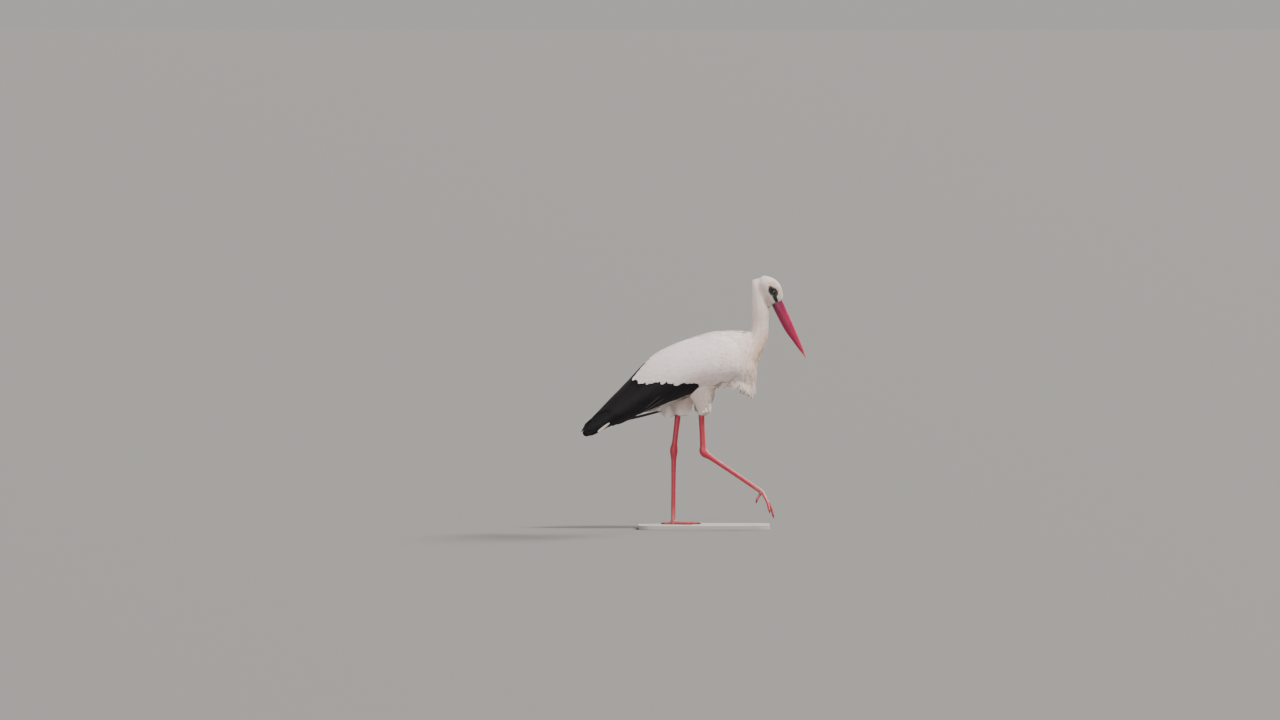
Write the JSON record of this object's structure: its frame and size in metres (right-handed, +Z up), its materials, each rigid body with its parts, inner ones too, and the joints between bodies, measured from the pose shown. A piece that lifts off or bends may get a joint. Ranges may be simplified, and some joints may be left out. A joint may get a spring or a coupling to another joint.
{
  "type": "white stork",
  "caption": "Still life-size model of an adult white stork in mid-stride on a flat base, one foot down, the other leg swung forward and the bill held low.",
  "frame": {"origin": "under the base plate, below the middle of the bounding box", "axes": "+X the way the bird faces, +Y its left side, +Z up; the base rests on z = 0"},
  "size_m": [0.6884, 0.22, 0.7709],
  "materials": {
    "white_plumage": "soft white feathers, stained buff on the neck and breast",
    "black_plumage": "black flight feathers with a faint gloss",
    "bill": "smooth crimson horn, paler at the tip",
    "eye": "dark brown, wet and glossy",
    "leg": "scaled crimson skin",
    "claw": "dark brown horn",
    "stand": "satin warm grey"
  },
  "bodies": {
    "root": {"head": "white_plumage", "neck_upper": "white_plumage", "neck_lower": "white_plumage", "trunk": "white_plumage", "breast_plumes": "white_plumage", "tail": "white_plumage", "thigh_left": "white_plumage", "thigh_right": "white_plumage", "wing_coverts_left": "white_plumage", "wing_coverts_right": "white_plumage", "wing_secondaries_left": "black_plumage", "wing_secondaries_right": "black_plumage", "wing_primaries_left": "black_plumage", "wing_primaries_right": "black_plumage", "bill_upper": "bill", "bill_lower": "bill", "eye_left": "eye", "eye_right": "eye", "shank_left": "leg", "shank_right": "leg", "tarsus_left": "leg", "tarsus_right": "leg", "foot_left": "leg", "foot_right": "leg", "claw_inner_left": "claw", "claw_middle_left": "claw", "claw_outer_left": "claw", "claw_hind_left": "claw", "claw_inner_right": "claw", "claw_middle_right": "claw", "claw_outer_right": "claw", "claw_hind_right": "claw", "stand_base": "stand"}
  },
  "joints": []
}
